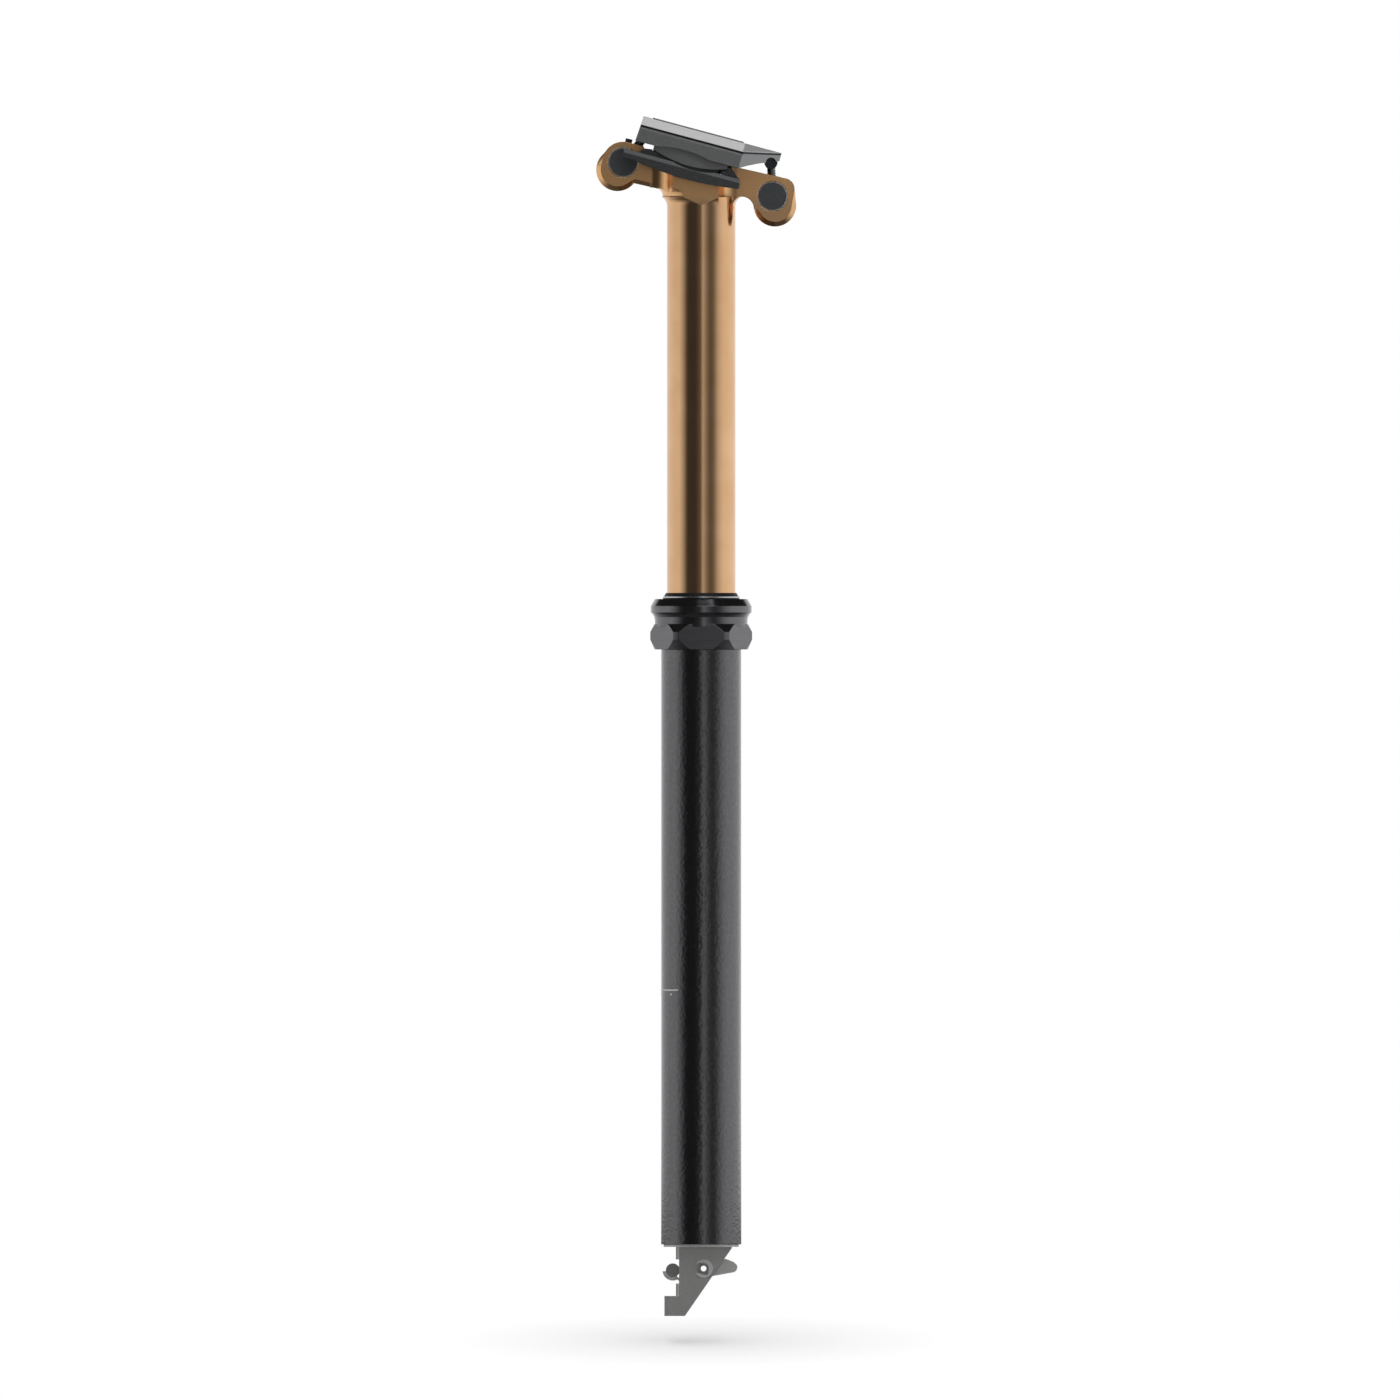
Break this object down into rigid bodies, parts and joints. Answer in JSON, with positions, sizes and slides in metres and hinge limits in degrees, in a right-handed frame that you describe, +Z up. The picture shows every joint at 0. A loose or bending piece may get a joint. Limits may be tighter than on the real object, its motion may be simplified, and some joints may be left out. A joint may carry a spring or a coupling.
{
  "type": "dropper seatpost",
  "caption": "Telescoping bicycle seatpost: black lower tube, collar, gold sliding post with a tilting saddle-rail clamp, and a cable lever that works the lock from below.",
  "frame": {"origin": "on the post's axis at the collar's underside, where the seat tube ends", "axes": "+X forward, +Y left, +Z up along the post"},
  "size_m": [0.0788, 0.051, 0.4727],
  "materials": {
    "black_anodised": "satin black anodised aluminium",
    "gloss_black": "gloss black anodised aluminium",
    "gold_coated": "polished gold hard coating on aluminium",
    "grey_anodised": "dark grey anodised forging",
    "black_forged": "black anodised forging",
    "machined_steel": "plated steel",
    "black_steel": "black oxide steel",
    "machined_aluminium": "bare machined aluminium",
    "chromed_shaft": "ground and chromed shaft",
    "rubber": "moulded rubber",
    "bearing_polymer": "bearing polymer",
    "brass": "machined brass"
  },
  "bodies": {
    "lower": {"lower_post": "black_anodised", "collar": "gloss_black", "wiper_seal": "rubber", "wiper_ring": "machined_aluminium", "upper_bushing": "bearing_polymer", "bottom_cap": "machined_aluminium", "damper_shaft": "chromed_shaft", "main_piston": "machined_aluminium", "piston_ring": "bearing_polymer", "bracket": "machined_steel", "pivot_pin": "machined_steel", "clip_near": "machined_steel", "clip_far": "machined_steel"},
    "upper": {"upper_post": "gold_coated", "guide_bushing": "bearing_polymer", "key_front": "brass", "key_left": "brass", "key_right": "brass", "bumper": "rubber", "seal_head": "machined_aluminium", "shaft_seal": "rubber", "air_valve": "brass", "valve_cap": "black_forged", "slot_boot": "rubber"},
    "oil_piston": {"floating_piston": "machined_aluminium", "floating_ring": "rubber"},
    "saddle_clamp": {"top_clamp": "grey_anodised", "cradle": "black_forged"},
    "front_screw": {"front_barrel": "black_steel", "front_bolt": "black_steel"},
    "front_trunnion": {"front_nut": "black_steel"},
    "rear_screw": {"rear_barrel": "black_steel", "rear_bolt": "black_steel"},
    "rear_trunnion": {"rear_nut": "black_steel"},
    "release_lever": {"lever": "machined_steel"},
    "cable_anchor": {"cable_barrel": "black_steel", "cable_screw": "black_steel"},
    "valve_rod": {"push_rod": "machined_steel"}
  },
  "joints": [
    {"name": "post_slide", "type": "slide", "parent": "lower", "child": "upper", "axis": [0, 0, 1], "range_m": [-0.15, 0], "stiffness_N_per_m": 533, "springref_m": 0.225},
    {"name": "oil_piston_slide", "type": "slide", "parent": "upper", "child": "oil_piston", "axis": [0, 0, 1], "range_m": [0, 0.03]},
    {"name": "saddle_tilt", "type": "hinge", "parent": "upper", "child": "saddle_clamp", "pos_m": [-0.00257, 0, 0.20722], "axis": [0, 1, 0], "range_deg": [-2.5, 2.5]},
    {"name": "front_screw_turn", "type": "hinge", "parent": "upper", "child": "front_screw", "pos_m": [0.0281, 0, 0.17861], "axis": [0, 1, 0], "range_deg": [-6, 6]},
    {"name": "front_trunnion_slide", "type": "slide", "parent": "front_screw", "child": "front_trunnion", "axis": [-0.0475, 0, 0.9989], "range_m": [-0.0025, 0.0025]},
    {"name": "rear_screw_turn", "type": "hinge", "parent": "upper", "child": "rear_screw", "pos_m": [-0.0308, 0, 0.19199], "axis": [0, 1, 0], "range_deg": [-6, 6]},
    {"name": "rear_trunnion_slide", "type": "slide", "parent": "rear_screw", "child": "rear_trunnion", "axis": [0.6552, 0, 0.7554], "range_m": [-0.0025, 0.0025]},
    {"name": "lever_turn", "type": "hinge", "parent": "lower", "child": "release_lever", "pos_m": [0.00095, 0, -0.2439], "axis": [0, -1, 0], "range_deg": [0, 20], "stiffness_Nm_per_rad": 0.3, "springref_deg": -17.19},
    {"name": "anchor_turn", "type": "hinge", "parent": "release_lever", "child": "cable_anchor", "pos_m": [-0.0112, 0, -0.2446], "axis": [0, -1, 0], "range_deg": [-25, 25]},
    {"name": "valve_rod_slide", "type": "slide", "parent": "lower", "child": "valve_rod", "axis": [0, 0, 1], "range_m": [0, 0.0009]}
  ],
  "couplings": [
    {"joint": "oil_piston_slide", "follows": "post_slide", "ratio": -0.1993},
    {"joint": "front_screw_turn", "follows": "saddle_tilt", "ratio": -1.2712},
    {"joint": "front_trunnion_slide", "follows": "saddle_tilt", "m_per_rad": -0.029272},
    {"joint": "rear_screw_turn", "follows": "saddle_tilt", "ratio": -1.073},
    {"joint": "rear_trunnion_slide", "follows": "saddle_tilt", "m_per_rad": 0.011351},
    {"joint": "valve_rod_slide", "follows": "lever_turn", "m_per_rad": 0.00225}
  ]
}
